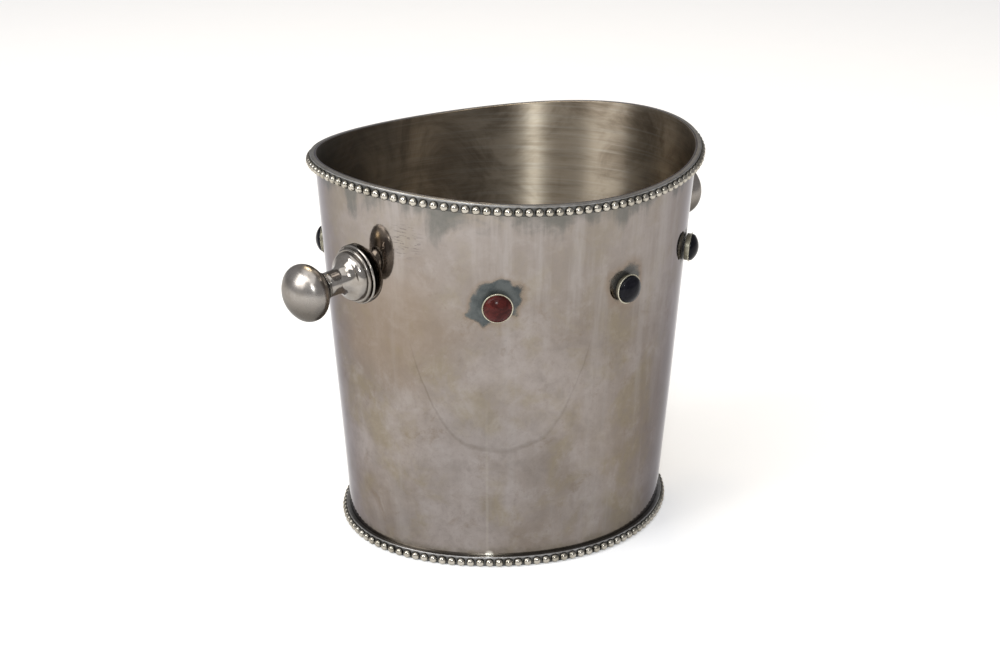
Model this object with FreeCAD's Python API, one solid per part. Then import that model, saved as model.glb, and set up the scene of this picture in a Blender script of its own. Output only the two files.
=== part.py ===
import FreeCAD, Part
import math
import os

# Oval champagne bucket, raised from silver sheet.  Millimetres, +Z up.
# The origin is the centre of the foot, on the surface that the bucket stands on.
# X runs through the two knob handles, which is also the long way of the oval.

V = FreeCAD.Vector
UP = V(0, 0, 1)

# ---- the body: a straight tapered wall of oval section ----
RIM_HEIGHT = 215.0          # mean height of the mouth
RIM_WAVE = 4.26             # the mouth rises this much at the handles and dips as much between
RIM_WAVE_TURN = math.radians(-5.8)   # how far the high points lie off the handles
SHEET = 1.2                 # thickness of the silver sheet
FOOT_HALF_LENGTH = 96.6     # outside of the wall at the foot, along X
FOOT_HALF_WIDTH = 86.9      # and along Y
FOOT_PINCH = 0.02           # the foot oval is this much slimmer on its diagonals than an ellipse
MOUTH_HALF_LENGTH = 113.0   # outside of the wall at the mouth, along X
MOUTH_HALF_WIDTH = 99.3     # and along Y
FLOOR_HEIGHT = 4.0          # underside of the floor plate
TRIM_ALLOWANCE = 12.0       # the wall is made this much too tall and trimmed to the wave

# ---- the beaded mouldings round the mouth and the foot ----
BEAD_RADIUS = 2.45
STRIP_THICKNESS = 2.4       # plain strip that carries the beads
RIM_STRIP_HEIGHT = 5.9
RIM_BEAD_DROP = 3.4         # bead centres below the top edge
RIM_BEAD_COUNT = 124
FOOT_STRIP_HEIGHT = 5.6
FOOT_BEAD_HEIGHT = 2.6      # bead centres above the standing surface
FOOT_BEAD_COUNT = 111

# ---- the two knob handles, measured along an axis square to the wall ----
HANDLE_HEIGHT = 164.9       # where the axis meets the wall
HANDLE_TURN = math.radians(0.6)      # both handles sit this far off the long axis
FLANGE_RADIUS = 16.4
FLANGE_THICKNESS = 2.4
FLANGE_EDGE = 1.0           # radius of the flange's rounded edge
LIP_RADIUS = 15.1
LIP_THICKNESS = 2.2
BELL_RADIUS = 13.6
BELL_LENGTH = 18.6
BELL_WIDEST = 0.3           # the bell is widest this far along it
BELL_SHOULDER = 4.2         # radius of the curve of its shoulder
NECK_RADIUS = 6.8
NECK_START = 11.5           # the neck is straight from here, along the bell,
NECK_END = 15.5             # to here, and then flares to the collar
NECK_FLARE = 0.6
COLLAR_RADIUS = 8.6
COLLAR_LENGTH = 3.4
COLLAR_STEP = 0.7           # the inner ring of the collar is this much smaller
COLLAR_GROOVE = 0.7         # depth of the grooves beside the rings
KNOB_RADIUS = 15.7
KNOB_HALF_THICKNESS = 11.1
KNOB_EDGE = 7.5             # radius of the knob's outer edge
KNOB_CENTRE = 35.5
STUD_RADIUS = 2.0
STUD_REACH = 34.0
RIVET_RADIUS = 2.6
RIVET_THICKNESS = 0.9

# ---- six round cabochons in cup settings ----
STONES = {                  # degrees round the oval's construction, and height
    "front_left": (228.1, 156.5),
    "front_middle": (268.9, 157.6),
    "front_right": (308.0, 160.9),
    "back_left": (132.0, 159.5),
    "back_middle": (91.1, 157.6),
    "back_right": (52.0, 156.5),
}
STONE_RADIUS = 7.6
STONE_GIRDLE_RADIUS = 7.85
STONE_DOME = 4.4
STONE_EDGE = 2.6            # radius of the dome's shoulder
CUP_RADIUS = 8.35
CUP_HEIGHT = 3.5
CUP_FLOOR = 0.7
CUP_LIP = 0.4

OVAL_POINTS = 48            # points that each oval curve is drawn through
SUNK = 4.0                  # turned pieces start this far inside the wall and are cut back to it


# ---------------------------------------------------------------- the oval
def oval_point(angle, height, outward=0.0):
    """Point on the wall at a construction angle, moved square outwards in plan, and that normal."""
    def plan(a):
        part = height / RIM_HEIGHT
        slim = 1 - FOOT_PINCH * math.sin(2 * a) ** 2
        length = FOOT_HALF_LENGTH * slim * (1 - part) + MOUTH_HALF_LENGTH * part
        width = FOOT_HALF_WIDTH * slim * (1 - part) + MOUTH_HALF_WIDTH * part
        return V(length * math.cos(a), width * math.sin(a), height)

    small = 1e-4
    along = plan(angle + small) - plan(angle - small)
    normal = along.cross(UP)
    normal.normalize()
    return plan(angle) + normal * outward, normal


def wall_normal(angle, height):
    """Outward normal of the tapered wall, which leans down a little."""
    low, flat = oval_point(angle, height - 1)
    high = oval_point(angle, height + 1)[0]
    rise = high - low
    normal = flat - rise * (flat.dot(rise) / rise.dot(rise))
    normal.normalize()
    return normal


def oval_edge(height, outward):
    points = [oval_point(2 * math.pi * i / OVAL_POINTS, height, outward)[0] for i in range(OVAL_POINTS)]
    curve = Part.BSplineCurve()
    curve.interpolate(Points=points, PeriodicFlag=True, Parameters=list(range(OVAL_POINTS + 1)))
    return curve.toShape()


def oval_solid(outward, bottom, top):
    """Solid plug between two heights, whose side is the wall moved outwards."""
    wires = [Part.Wire([oval_edge(h, outward)]) for h in (bottom, top)]
    return Part.makeLoft(wires, True, True)


def rim_height(angle):
    return RIM_HEIGHT + RIM_WAVE * math.cos(2 * (angle - RIM_WAVE_TURN))


def above_rim(drop):
    """Everything above the waving mouth, lowered by a drop.  The surface is a saddle."""
    reach = 1.3 * MOUTH_HALF_LENGTH
    xx = RIM_WAVE * math.cos(2 * RIM_WAVE_TURN) / MOUTH_HALF_LENGTH ** 2
    yy = -RIM_WAVE * math.cos(2 * RIM_WAVE_TURN) / MOUTH_HALF_WIDTH ** 2
    xy = 2 * RIM_WAVE * math.sin(2 * RIM_WAVE_TURN) / (MOUTH_HALF_LENGTH * MOUTH_HALF_WIDTH)
    surface = Part.BezierSurface()
    surface.increase(2, 2)
    places = (-1, 0, 1)
    squares = (1, -1, 1)
    for i in range(3):
        for j in range(3):
            z = xx * squares[i] + yy * squares[j] + xy * places[i] * places[j]
            pole = V(places[i] * reach, places[j] * reach, RIM_HEIGHT - drop + z * reach ** 2)
            surface.setPole(i + 1, j + 1, pole)
    return surface.toShape().extrude(V(0, 0, 3 * TRIM_ALLOWANCE))


# ---------------------------------------------------------------- body and mouldings
def make_body_wall(stud_holes):
    top = RIM_HEIGHT + TRIM_ALLOWANCE
    wall = oval_solid(0, 0, top).cut(oval_solid(-SHEET, -1, top + 1))
    wall = wall.cut(above_rim(0))
    return wall.cut(stud_holes)


def make_floor_plate():
    return oval_solid(-SHEET, FLOOR_HEIGHT, FLOOR_HEIGHT + SHEET)


def make_rim_strip():
    low = RIM_HEIGHT - TRIM_ALLOWANCE
    high = RIM_HEIGHT + TRIM_ALLOWANCE
    ring = oval_solid(STRIP_THICKNESS, low, high).cut(oval_solid(0, low - 1, high + 1))
    return ring.common(above_rim(RIM_STRIP_HEIGHT)).cut(above_rim(0))


def make_foot_strip():
    ring = oval_solid(STRIP_THICKNESS, 0, FOOT_STRIP_HEIGHT)
    return ring.cut(oval_solid(0, -1, FOOT_STRIP_HEIGHT + 1))


def even_angles(count, height):
    """Construction angles that space the beads evenly along the moulding."""
    steps = 3600
    points = [oval_point(2 * math.pi * i / steps, height, STRIP_THICKNESS)[0] for i in range(steps + 1)]
    lengths = [0.0]
    for start, end in zip(points, points[1:]):
        lengths.append(lengths[-1] + start.distanceToPoint(end))
    angles = []
    step = 0
    for bead in range(count):
        target = lengths[-1] * bead / count
        while lengths[step + 1] < target:
            step += 1
        part = (target - lengths[step]) / (lengths[step + 1] - lengths[step])
        angles.append(2 * math.pi * (step + part) / steps)
    return angles


def make_beads(count, mean_height, height_at):
    """Half-round beads with their flat backs on the face of the strip."""
    beads = []
    for angle in even_angles(count, mean_height):
        height = height_at(angle)
        centre = oval_point(angle, height, STRIP_THICKNESS)[0]
        facing = wall_normal(angle, height)
        beads.append(Part.makeSphere(BEAD_RADIUS, centre, facing, 0, 90, 360))
    return Part.makeCompound(beads)


def make_rim_beads():
    return make_beads(RIM_BEAD_COUNT, RIM_HEIGHT, lambda angle: rim_height(angle) - RIM_BEAD_DROP)


def make_foot_beads():
    return make_beads(FOOT_BEAD_COUNT, FOOT_BEAD_HEIGHT, lambda angle: FOOT_BEAD_HEIGHT)


# ---------------------------------------------------------------- turned pieces
# A turned piece is drawn as (radius, distance along its axis) and spun about that axis.
def at(radius, along):
    return V(radius, 0, along)


def line(*points):
    return [Part.LineSegment(a, b).toShape() for a, b in zip(points, points[1:])]


def arc(start, middle, end):
    return [Part.Arc(start, middle, end).toShape()]


def dome(across, along, edge, base, way=1):
    """Quarter of a flattened ball, from its widest point to its pole: a tight arc, then a wide one."""
    wide = ((across - edge) ** 2 + along ** 2 - edge ** 2) / (2 * (along - edge))
    meet = math.atan2(wide - along, across - edge)

    def tight(angle):
        return at(across - edge + edge * math.cos(angle), base + way * edge * math.sin(angle))

    def broad(angle):
        return at(wide * math.cos(angle), base + way * (along - wide + wide * math.sin(angle)))

    pole = at(0, base + way * along)
    edge_arc = arc(tight(0), tight(meet / 2), tight(meet))
    return edge_arc + arc(tight(meet), broad((meet + math.pi / 2) / 2), pole)


def spin(edges):
    face = Part.Face(Part.Wire(edges))
    return face.revolve(V(0, 0, 0), UP, 360)


def place(shape, angle, height):
    """Set a turned piece on the wall, its axis along the wall's outward normal."""
    foot = oval_point(angle, height)[0]
    turned = shape.copy()
    turned.Placement = FreeCAD.Placement(foot, FreeCAD.Rotation(UP, wall_normal(angle, height)))
    return turned


def turned_flange():
    inner = at(STUD_RADIUS, -SUNK)
    outer = at(FLANGE_RADIUS, -SUNK)
    edge = FLANGE_EDGE
    corner = at(FLANGE_RADIUS, FLANGE_THICKNESS - edge)
    swell = at(FLANGE_RADIUS - edge * 0.3, FLANGE_THICKNESS - edge * 0.3)
    top = at(FLANGE_RADIUS - edge, FLANGE_THICKNESS)
    end = at(STUD_RADIUS, FLANGE_THICKNESS)
    return spin(line(inner, outer, corner) + arc(corner, swell, top) + line(top, end, inner))


def turned_lip():
    low = FLANGE_THICKNESS
    high = low + LIP_THICKNESS
    edge = LIP_THICKNESS / 2
    start = at(LIP_RADIUS - edge, low)
    middle = at(LIP_RADIUS, low + edge)
    end = at(LIP_RADIUS - edge, high)
    back = line(end, at(STUD_RADIUS, high), at(STUD_RADIUS, low), start)
    return spin(arc(start, middle, end) + back)


def bell_sweep():
    """Radius and centre of the hollow curve that touches both the bell's shoulder and its neck."""
    along = NECK_START - BELL_WIDEST
    across = BELL_RADIUS - BELL_SHOULDER - NECK_RADIUS
    radius = (across ** 2 + along ** 2 - BELL_SHOULDER ** 2) / (2 * (across + BELL_SHOULDER))
    return radius, NECK_RADIUS + radius


def turned_bell():
    """Round shoulder that sweeps into a slim neck and flares again under the collar."""
    low = FLANGE_THICKNESS + LIP_THICKNESS
    high = low + BELL_LENGTH
    sweep, sweep_across = bell_sweep()
    shoulder_across = BELL_RADIUS - BELL_SHOULDER
    meet = math.atan2(NECK_START - BELL_WIDEST, sweep_across - shoulder_across)
    first = -math.asin(BELL_WIDEST / BELL_SHOULDER)

    def shoulder(angle):
        along = low + BELL_WIDEST + BELL_SHOULDER * math.sin(angle)
        return at(shoulder_across + BELL_SHOULDER * math.cos(angle), along)

    def hollow(angle):
        return at(sweep_across - sweep * math.cos(angle), low + NECK_START - sweep * math.sin(angle))

    flare_length = BELL_LENGTH - NECK_END
    half_flare = at(NECK_RADIUS + NECK_FLARE / 4, high - flare_length / 2)
    edges = arc(shoulder(first), shoulder((first + meet) / 2), shoulder(meet))
    edges += arc(shoulder(meet), hollow(meet / 2), hollow(0))
    edges += line(hollow(0), at(NECK_RADIUS, low + NECK_END))
    rim = at(NECK_RADIUS + NECK_FLARE, high)
    edges += arc(at(NECK_RADIUS, low + NECK_END), half_flare, rim)
    edges += line(rim, at(STUD_RADIUS, high), at(STUD_RADIUS, low), shoulder(first))
    return spin(edges)


def turned_collar():
    """Two small rings, the outer one larger, between the neck and the knob."""
    low = FLANGE_THICKNESS + LIP_THICKNESS + BELL_LENGTH
    high = low + COLLAR_LENGTH
    step = low + COLLAR_LENGTH / 2
    small = COLLAR_RADIUS - COLLAR_STEP
    groove = small - COLLAR_GROOVE
    edges = arc(at(groove, low), at(small, (low + step) / 2), at(groove, step))
    edges += arc(at(groove, step), at(COLLAR_RADIUS, (step + high) / 2), at(groove, high))
    edges += line(at(groove, high), at(STUD_RADIUS, high), at(STUD_RADIUS, low), at(groove, low))
    return spin(edges)


def turned_knob():
    """Flattened ball with a flat seat on the collar and a blind threaded hole."""
    seat = FLANGE_THICKNESS + LIP_THICKNESS + BELL_LENGTH + COLLAR_LENGTH
    bottom = at(0, KNOB_CENTRE - KNOB_HALF_THICKNESS)
    top = at(0, KNOB_CENTRE + KNOB_HALF_THICKNESS)
    front = dome(KNOB_RADIUS, KNOB_HALF_THICKNESS, KNOB_EDGE, KNOB_CENTRE)
    back = dome(KNOB_RADIUS, KNOB_HALF_THICKNESS, KNOB_EDGE, KNOB_CENTRE, -1)
    knob = spin(front + line(top, bottom) + back)
    trim = Part.makeCylinder(2 * KNOB_RADIUS, seat, V(0, 0, 0), UP)
    hole = Part.makeCylinder(STUD_RADIUS, STUD_REACH, V(0, 0, 0), UP)
    return knob.cut(trim).cut(hole)


def turned_stud():
    """Threaded rod, riveted over inside the bucket, that pulls the whole handle together."""
    inside = -SHEET
    rod = Part.makeCylinder(STUD_RADIUS, STUD_REACH - inside, V(0, 0, inside), UP)
    head = Part.makeCylinder(RIVET_RADIUS, RIVET_THICKNESS, V(0, 0, inside - RIVET_THICKNESS), UP)
    return rod.fuse(head).removeSplitter()


def turned_cup():
    """Shallow cup with its lip rubbed over the edge of the stone."""
    lip = CUP_HEIGHT - CUP_LIP
    brow = at(CUP_RADIUS, lip)
    crest = at(CUP_RADIUS - CUP_LIP, CUP_HEIGHT)
    bulge = at(CUP_RADIUS - 0.3 * CUP_LIP, CUP_HEIGHT - 0.3 * CUP_LIP)
    outside = line(at(0, -SUNK), at(CUP_RADIUS, -SUNK), brow)
    inside = line(crest, at(STONE_RADIUS, CUP_HEIGHT), at(STONE_RADIUS, lip), at(STONE_GIRDLE_RADIUS, lip),
                  at(STONE_GIRDLE_RADIUS, CUP_FLOOR), at(0, CUP_FLOOR), at(0, -SUNK))
    return spin(outside + arc(brow, bulge, crest) + inside)


def turned_stone():
    """Cabochon: a flat-backed girdle that the lip holds, under a high round dome."""
    lip = CUP_HEIGHT - CUP_LIP
    crown = dome(STONE_RADIUS, STONE_DOME, STONE_EDGE, CUP_HEIGHT)
    edge = at(STONE_RADIUS, CUP_HEIGHT)
    top = at(0, CUP_HEIGHT + STONE_DOME)
    below = line(top, at(0, CUP_FLOOR), at(STONE_GIRDLE_RADIUS, CUP_FLOOR), at(STONE_GIRDLE_RADIUS, lip),
                 at(STONE_RADIUS, lip), edge)
    return spin(crown + below)


# ---------------------------------------------------------------- assembly
HANDLES = {"right": HANDLE_TURN, "left": math.pi + HANDLE_TURN}


def build():
    solids = {}
    trunk = oval_solid(0, -1, RIM_HEIGHT + TRIM_ALLOWANCE)
    studs = {side: place(turned_stud(), angle, HANDLE_HEIGHT) for side, angle in HANDLES.items()}
    shank = Part.makeCylinder(STUD_RADIUS, 4 * SUNK, V(0, 0, -2 * SUNK), UP)
    holes = [place(shank, angle, HANDLE_HEIGHT) for angle in HANDLES.values()]
    solids["body_wall"] = make_body_wall(Part.makeCompound(holes))
    solids["floor_plate"] = make_floor_plate()
    solids["rim_strip"] = make_rim_strip()
    solids["rim_beads"] = make_rim_beads()
    solids["foot_strip"] = make_foot_strip()
    solids["foot_beads"] = make_foot_beads()
    makers = {"flange": turned_flange, "lip": turned_lip, "bell": turned_bell,
              "collar": turned_collar, "knob": turned_knob}
    for side, angle in HANDLES.items():
        for name, maker in makers.items():
            solids[f"{side}_handle_{name}"] = place(maker(), angle, HANDLE_HEIGHT)
        flange = f"{side}_handle_flange"
        solids[flange] = solids[flange].cut(trunk)
        solids[f"{side}_handle_stud"] = studs[side].cut(solids["body_wall"])
    for where, (degrees, height) in STONES.items():
        angle = math.radians(degrees)
        solids[f"{where}_cup"] = place(turned_cup(), angle, height).cut(trunk)
        solids[f"{where}_stone"] = place(turned_stone(), angle, height)
    return solids


def export(solids):
    os.makedirs("parts", exist_ok=True)
    for name, shape in solids.items():
        shape.exportStep(f"parts/{name}.step")
        box = shape.optimalBoundingBox(False, False)
        print(f"{name:21s} solids {len(shape.Solids):3d}  valid {shape.isValid()}  volume {shape.Volume:9.0f}"
              f"  x {box.XMin:7.1f} {box.XMax:7.1f}  y {box.YMin:7.1f} {box.YMax:7.1f}"
              f"  z {box.ZMin:6.2f} {box.ZMax:6.2f}")


export(build())
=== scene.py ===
# %% [markdown]
# # An oval silver champagne bucket
# The bucket is a tapered oval of silver sheet with a beaded moulding round its mouth and its foot,
# a turned knob handle at each end and six round stones in cup settings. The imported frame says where
# every piece is. This lesson makes a finer mesh for each of them and then gives it its finish.

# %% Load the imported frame
import math
import random

import bpy
import numpy as np
from mathutils import Matrix, Vector


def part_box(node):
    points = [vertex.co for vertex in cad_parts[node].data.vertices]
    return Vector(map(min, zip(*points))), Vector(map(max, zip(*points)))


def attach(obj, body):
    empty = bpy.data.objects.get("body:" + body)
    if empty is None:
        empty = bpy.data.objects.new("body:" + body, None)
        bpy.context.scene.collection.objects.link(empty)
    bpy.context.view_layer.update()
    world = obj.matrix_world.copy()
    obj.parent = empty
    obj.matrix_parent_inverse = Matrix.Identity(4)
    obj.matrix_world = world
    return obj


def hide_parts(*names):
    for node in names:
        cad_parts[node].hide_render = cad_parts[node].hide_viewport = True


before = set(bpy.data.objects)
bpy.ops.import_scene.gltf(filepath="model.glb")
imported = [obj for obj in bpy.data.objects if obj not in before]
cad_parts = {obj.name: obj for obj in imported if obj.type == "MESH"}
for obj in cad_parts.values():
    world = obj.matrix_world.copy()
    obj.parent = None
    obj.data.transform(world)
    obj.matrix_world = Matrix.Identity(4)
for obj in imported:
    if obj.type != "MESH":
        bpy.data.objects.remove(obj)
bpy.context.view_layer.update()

# %% [markdown]
# ## The driving sizes
# All lengths are metres. The wall is a straight taper between two ovals: one at the foot, one at the
# mouth. Its upper edge waves, high near the handles and low between them. These few numbers, and the
# boxes of the CAD nodes, give the place of everything else.

# %% Driving sizes
MM = 0.001
SHEET = 1.2 * MM
FOOT_HALF_LENGTH = 96.6 * MM
FOOT_HALF_WIDTH = 86.9 * MM
FOOT_PINCH = 0.02
MOUTH_HALF_LENGTH = 113.0 * MM
MOUTH_HALF_WIDTH = 99.3 * MM
RIM_HEIGHT = 215.0 * MM
RIM_WAVE = 4.26 * MM
RIM_WAVE_TURN = math.radians(-5.8)
STRIP = 2.4 * MM
BEAD_RADIUS = 2.45 * MM
HANDLE_HEIGHT = 164.9 * MM
HANDLE_TURN = math.radians(0.6)
TURN = 2 * math.pi

# %% [markdown]
# ## The oval
# One function places every point of the bucket. It takes an angle round the oval, a height, and a
# distance square outwards from the wall, for whole arrays at once, so a mesh of many thousand points
# needs no loop. A second one gives the frame of a piece that stands on the wall: sideways, up along
# the wall, and straight out of it.


# %% Points and directions on the wall
def oval(angle, height, outward=0.0):
    part = height / RIM_HEIGHT
    slim = 1 - FOOT_PINCH * np.sin(2 * angle) ** 2
    slim_slope = -2 * FOOT_PINCH * np.sin(4 * angle)
    length = FOOT_HALF_LENGTH * slim * (1 - part) + MOUTH_HALF_LENGTH * part
    width = FOOT_HALF_WIDTH * slim * (1 - part) + MOUTH_HALF_WIDTH * part
    x_slope = FOOT_HALF_LENGTH * slim_slope * (1 - part) * np.cos(angle) - length * np.sin(angle)
    y_slope = FOOT_HALF_WIDTH * slim_slope * (1 - part) * np.sin(angle) + width * np.cos(angle)
    steep = np.hypot(x_slope, y_slope)
    x = length * np.cos(angle) + outward * y_slope / steep
    y = width * np.sin(angle) - outward * x_slope / steep
    return np.stack(np.broadcast_arrays(x, y, height + 0 * angle), axis=-1)


def rim_height(angle):
    return RIM_HEIGHT + RIM_WAVE * np.cos(2 * (angle - RIM_WAVE_TURN))


def wall_frame(angle, height):
    """Matrix whose X runs round the wall, Y up along it and Z straight out of it."""
    step = 0.5 * MM
    here = Vector(oval(angle, height))
    up = (Vector(oval(angle, height + step)) - Vector(oval(angle, height - step))).normalized()
    flat = (Vector(oval(angle, height, step)) - here).normalized()
    out = (flat - up * flat.dot(up)).normalized()
    across = up.cross(out)
    turn = Matrix((across, up, out)).transposed()
    return Matrix.Translation(here) @ turn.to_4x4()


def bend_radius(angle, height):
    """Radius of the wall's curve in plan."""
    step = 0.01
    a, b, c = (Vector(oval(angle + k * step, height)) for k in (-1, 0, 1))
    turn = (b - a).angle(c - b)
    return (c - a).length / 2 / turn


mouth_length = 2 * (MOUTH_HALF_LENGTH - SHEET) / MM
mouth_width = 2 * (MOUTH_HALF_WIDTH - SHEET) / MM
print("mouth is", round(mouth_length), "by", round(mouth_width), "mm")
print("wall bends to a radius of", round(bend_radius(0, HANDLE_HEIGHT) / MM), "mm behind a handle")

# %% [markdown]
# ## Outlines with soft corners
# Nothing made by hand has a perfectly sharp edge, and a thin bright line along each edge is what makes
# metal look real. So an outline is written as a few corners with a radius each, and this function
# turns every corner into a short arc. A Bevel modifier could do that too, but here the edges of a
# thin sheet and of a thick knob need very different radii.


# %% Outlines
def soften(corners, closed=True, steps=5):
    """Corners are (across, along, radius) or (across, along, radius, tarnish and painted shade)."""
    points = []
    count = len(corners)
    for i, corner in enumerate(corners):
        here = np.array(corner[:2], float)
        radius = corner[2]
        grime_and_shade = corner[3] if len(corner) > 3 else 0.0
        end = not closed and i in (0, count - 1)
        if radius == 0 or end:
            points.append((*here, grime_and_shade))
            continue
        before = np.array(corners[i - 1][:2], float) - here
        after = np.array(corners[(i + 1) % count][:2], float) - here
        before_length, after_length = np.linalg.norm(before), np.linalg.norm(after)
        before, after = before / before_length, after / after_length
        half = math.acos(np.clip(before @ after, -1, 1)) / 2
        reach = min(radius / math.tan(half), 0.49 * before_length, 0.49 * after_length)
        radius = reach * math.tan(half)
        middle = here + (before + after) / np.linalg.norm(before + after) * radius / math.sin(half)
        start, stop = here + before * reach - middle, here + after * reach - middle
        sweep = math.atan2(start[0] * stop[1] - start[1] * stop[0], start @ stop)
        for k in range(steps + 1):
            turn = sweep * k / steps
            spin = np.array([[math.cos(turn), -math.sin(turn)], [math.sin(turn), math.cos(turn)]])
            points.append((*(middle + spin @ start), grime_and_shade))
    return np.array(points)


def divide(points, longest, closed=True):
    """Adds points so that no step of the outline is longer than the given length."""
    following = np.roll(points, -1, axis=0) if closed else points[1:]
    dense = []
    for a, b in zip(points, following):
        pieces = max(1, math.ceil(np.linalg.norm((b - a)[:2]) / longest))
        dense += [a + (b - a) * k / pieces for k in range(pieces)]
    if not closed:
        dense.append(points[-1])
    return np.array(dense)


# %% [markdown]
# ## From grids to meshes
# Every piece here is a grid of points: rows follow an outline, columns go round the bucket or round a
# turning axis. One function joins such grids into a closed mesh. Where a row ends on the axis, the
# grid is closed with a fan of triangles. Each point also carries a number for its tarnish and its
# painted shade in corners and gaps, in an attribute that the finishes read later. A weighted-normal
# modifier makes flat stretches shade flat.

# %% Mesh from a grid
scene = bpy.context.scene


def mesh_piece(name, points, faces, tarnish_and_shade, inside=None):
    mesh = bpy.data.meshes.new(name)
    mesh.from_pydata(points.tolist(), [], faces)
    mesh.update()
    for key, values in (("tarnish_and_shade", tarnish_and_shade), ("inside", inside)):
        if values is not None:
            layer = mesh.attributes.new(key, "FLOAT", "POINT")
            layer.data.foreach_set("value", np.asarray(values, np.float32).ravel())
    mesh.shade_smooth()
    piece = bpy.data.objects.new(name, mesh)
    scene.collection.objects.link(piece)
    normals = piece.modifiers.new("Even shading", "WEIGHTED_NORMAL")
    normals.keep_sharp = True
    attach(piece, "root")
    return piece


def grid_faces(rows, columns, wrap_rows):
    """Quads over a grid whose columns always close into a ring."""
    last = rows if wrap_rows else rows - 1
    faces = []
    for r in range(last):
        low = r * columns
        high = ((r + 1) % rows) * columns
        for c in range(columns):
            d = (c + 1) % columns
            faces.append((low + c, low + d, high + d, high + c))
    return faces


def end_fans(low_pole, high_pole, rows, columns):
    """Triangles that close the first and the last row of a grid to a point each."""
    top = (rows - 1) * columns
    faces = []
    for c in range(columns):
        d = (c + 1) % columns
        faces += [(low_pole, d, c), (high_pole, top + c, top + d)]
    return faces


def report(piece, node):
    """Says how far the piece's box is from the CAD node that it stands for."""
    low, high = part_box(node)
    points = np.array([piece.matrix_world @ v.co for v in piece.data.vertices])
    gap = max(abs(points.min(0) - np.array(low)).max(), abs(points.max(0) - np.array(high)).max())
    print(f"{piece.name}: {len(piece.data.polygons)} faces, box within {gap / MM:.2f} mm of the CAD node")


# %% [markdown]
# ## The wall
# The real wall is one sheet, bent round a former and soldered along one upright seam. Planishing it
# leaves faint flats that bend its reflections. It could be an extruded curve with a Solidify modifier,
# but the mouth waves and the oval changes on the way up, so the sheet's outline is swept round the
# oval by the function above, with a ripple of about a tenth of a millimetre on both faces.

# %% The wall sheet
SEAM_ANGLE = math.radians(225.0)
CREASE_ANGLE = 229.0
CREASE_LOW = 70.0 * MM
CREASE_RISE = 0.0026 * MM
CREASE_TOP = 150 * MM
CREASE_DEPTH = 0.05 * MM
CREASE_HALF_WIDTH = 2.4 * MM
SEAM_STANDS_OUT = 0.05 * MM
SEAM_HALF_WIDTH = 0.7 / 95
WALL_COLUMNS = 480
WALL_STEP = 2.4 * MM
INNER_SHARE = 0.6
RIPPLE = 0.10 * MM
RIPPLE_COUNT = 14
RIPPLE_SUM = 2.6
RIPPLE_FADE = 25 * MM
ripple_waves = random.Random(7)
RIPPLES = [
    (ripple_waves.choice((3, 5, 7, 8, 11, 13)), ripple_waves.uniform(14, 46), ripple_waves.uniform(0, TURN))
    for _ in range(RIPPLE_COUNT)
]


def crease_height(angle):
    """A shallow dent in the front sheet ends along this U-shaped line."""
    return CREASE_LOW + CREASE_RISE * np.abs(np.degrees(angle) - CREASE_ANGLE) ** 3


def ripple(angle, height):
    """How far the sheet stands off the true oval. Its ripple dies away at the mouldings."""
    wave = sum(np.sin(around * angle + up * height + phase) for around, up, phase in RIPPLES)
    below_rim = rim_height(angle) - height
    fade = np.clip(height / RIPPLE_FADE, 0, 1) * np.clip(below_rim / RIPPLE_FADE, 0, 1)
    seam = np.exp(-((angle - SEAM_ANGLE) / SEAM_HALF_WIDTH) ** 2)
    past = (height - crease_height(angle)) / CREASE_HALF_WIDTH
    crease = np.exp(-past ** 2) * (height < CREASE_TOP)
    return RIPPLE * wave / RIPPLE_SUM * fade + SEAM_STANDS_OUT * seam - CREASE_DEPTH * crease


def swept(name, outline, lift, columns=WALL_COLUMNS, shift=None, inside=None):
    """Sweeps an outline of (outward, height, tarnish) round the oval."""
    angle = np.linspace(0, TURN, columns, endpoint=False)[None, :]
    outward = outline[:, 0][:, None]
    height = lift(outline[:, 1][:, None], angle)
    if shift is not None:
        outward = outward + shift(angle, height)
    points = oval(angle, height, outward).reshape(-1, 3)
    tarnish_and_shade = np.repeat(outline[:, 2], columns)
    inner = None if inside is None else np.repeat(inside(outline), columns)
    return mesh_piece(name, points, grid_faces(len(outline), columns, True), tarnish_and_shade, inner)


sheet_outline = soften([(0, 0, 0.2 * MM), (0, RIM_HEIGHT, 0.15 * MM), (-SHEET, RIM_HEIGHT, 0.35 * MM),
                        (-SHEET, 0, 0.2 * MM)], steps=3)
sheet_outline = divide(sheet_outline, WALL_STEP)
wall = swept("made_body_wall", sheet_outline,
             lambda z, a: z * rim_height(a) / RIM_HEIGHT, shift=ripple,
             inside=lambda outline: np.clip(-outline[:, 0] / SHEET, 0, 1) > INNER_SHARE)
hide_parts("body_wall")
report(wall, "body_wall")

# %% [markdown]
# ## The floor plate
# The floor is a second sheet, cut to the oval and soldered in just above the table. A bead of solder
# fills the corner, and that is modelled too, because light catches it when one looks into the bucket.

# %% Floor plate and its solder
FLOOR_LOW, FLOOR_HIGH = (corner.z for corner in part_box("floor_plate"))


def floor_disc():
    columns = 240
    angle = np.linspace(0, TURN, columns, endpoint=False)
    edge = 0.15 * MM
    rings = [(f, FLOOR_LOW) for f in np.linspace(0.05, 0.99, 14)]
    rings += [(1.0, FLOOR_LOW + edge), (1.0, FLOOR_HIGH - edge)]
    rings += [(f, FLOOR_HIGH) for f in np.linspace(0.99, 0.05, 14)]
    rows = []
    for share, height in rings:
        ring = oval(angle, np.full(columns, height), -SHEET)
        ring[:, :2] *= share
        rows.append(ring)
    points = np.concatenate(rows + [[[0, 0, FLOOR_LOW]], [[0, 0, FLOOR_HIGH]]])
    faces = grid_faces(len(rings), columns, False)
    faces += end_fans(len(points) - 2, len(points) - 1, len(rings), columns)
    inside = np.repeat([1.0 if z > FLOOR_LOW + 2 * edge else 0.0 for _, z in rings], columns)
    inside = np.append(inside, [0.0, 1.0])
    return mesh_piece("made_floor_plate", points, faces, np.zeros(len(points)), inside)


floor_plate = floor_disc()
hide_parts("floor_plate")
report(floor_plate, "floor_plate")

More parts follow.
